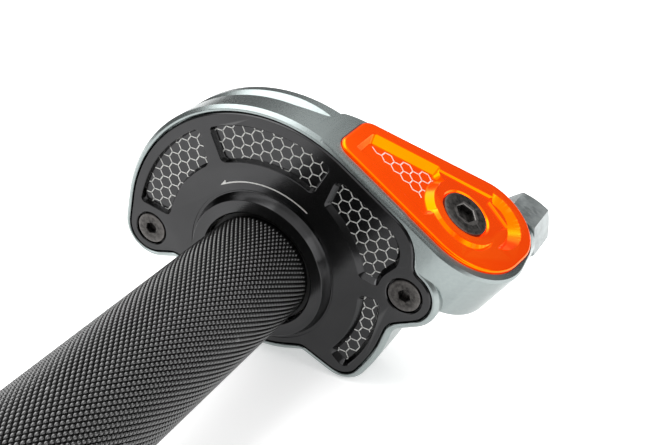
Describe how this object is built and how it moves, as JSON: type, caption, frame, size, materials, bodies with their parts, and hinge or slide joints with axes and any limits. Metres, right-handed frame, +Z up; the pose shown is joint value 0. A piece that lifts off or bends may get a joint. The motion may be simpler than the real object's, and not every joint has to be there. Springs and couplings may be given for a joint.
{
  "type": "motorcycle quick-action throttle grip",
  "caption": "Right-hand twist grip whose cable drum sits in a sculpted two-part housing; the wire turns over a roller under a bolted plate and leaves through a hexagonal cable adjuster.",
  "frame": {"origin": "on the handlebar axis, in the plane of the front cover's outer face", "axes": "+Y along the handlebar towards its middle, so the grip's free end points to -Y; +X forward, towards the cable roller; +Z up"},
  "size_m": [0.1158, 0.1791, 0.0773],
  "materials": {
    "housing_metal": "satin titanium-grey anodised",
    "cover_black": "satin black anodised",
    "plate_orange": "bright orange anodised",
    "screw_black": "black oxide",
    "bare_aluminium": "turned",
    "grip_rubber": "matt, knurled",
    "seal_rubber": "matt",
    "bush_plastic": "smooth",
    "bearing_steel": "ground"
  },
  "bodies": {
    "casing": {"housing": "housing_metal", "front_cover": "cover_black", "bar_clamp_cap": "housing_metal", "roller_cover_plate": "plate_orange", "cover_screw_left": "screw_black", "cover_screw_right": "screw_black", "clamp_bolt_left": "screw_black", "clamp_bolt_right": "screw_black", "roller_axle_screw": "screw_black", "front_glide_ring": "bush_plastic", "rear_bush": "bush_plastic", "dust_seal": "seal_rubber", "bearing_inner_race": "bearing_steel", "roller_spacer_lower": "bare_aluminium", "roller_spacer_upper": "bare_aluminium"},
    "twist_grip": {"throttle_tube": "cover_black", "cable_drum": "bare_aluminium", "grip_sleeve": "grip_rubber", "drum_screw_1": "screw_black", "drum_screw_2": "screw_black", "drum_screw_3": "screw_black", "drum_screw_4": "screw_black"},
    "roller": {"cable_roller": "bare_aluminium", "bearing_outer_race": "bearing_steel", "bearing_shield_lower": "bearing_steel", "bearing_shield_upper": "bearing_steel"},
    "ball_cage": {"bearing_ball_cage": "bearing_steel"},
    "adjuster": {"cable_adjuster": "housing_metal"}
  },
  "joints": [
    {"name": "throttle_twist", "type": "hinge", "parent": "casing", "child": "twist_grip", "pos_m": [0, 0, 0], "axis": [0, -1, 0], "range_deg": [0, 70]},
    {"name": "roller_spin", "type": "hinge", "parent": "casing", "child": "roller", "pos_m": [0.04563, 0.0206, 0.01148], "axis": [0.5982, 0, 0.8013], "range_deg": [-200, 0]},
    {"name": "ball_cage_spin", "type": "hinge", "parent": "casing", "child": "ball_cage", "pos_m": [0.04563, 0.0206, 0.01148], "axis": [0.5982, 0, 0.8013], "range_deg": [-120, 0]},
    {"name": "adjuster_turn", "type": "hinge", "parent": "casing", "child": "adjuster", "pos_m": [0.05709, 0.045, 0.00293], "axis": [0, 1, 0], "range_deg": [0, 1080]}
  ],
  "couplings": [
    {"joint": "roller_spin", "follows": "throttle_twist", "ratio": -2.684},
    {"joint": "ball_cage_spin", "follows": "throttle_twist", "ratio": -1.562}
  ]
}
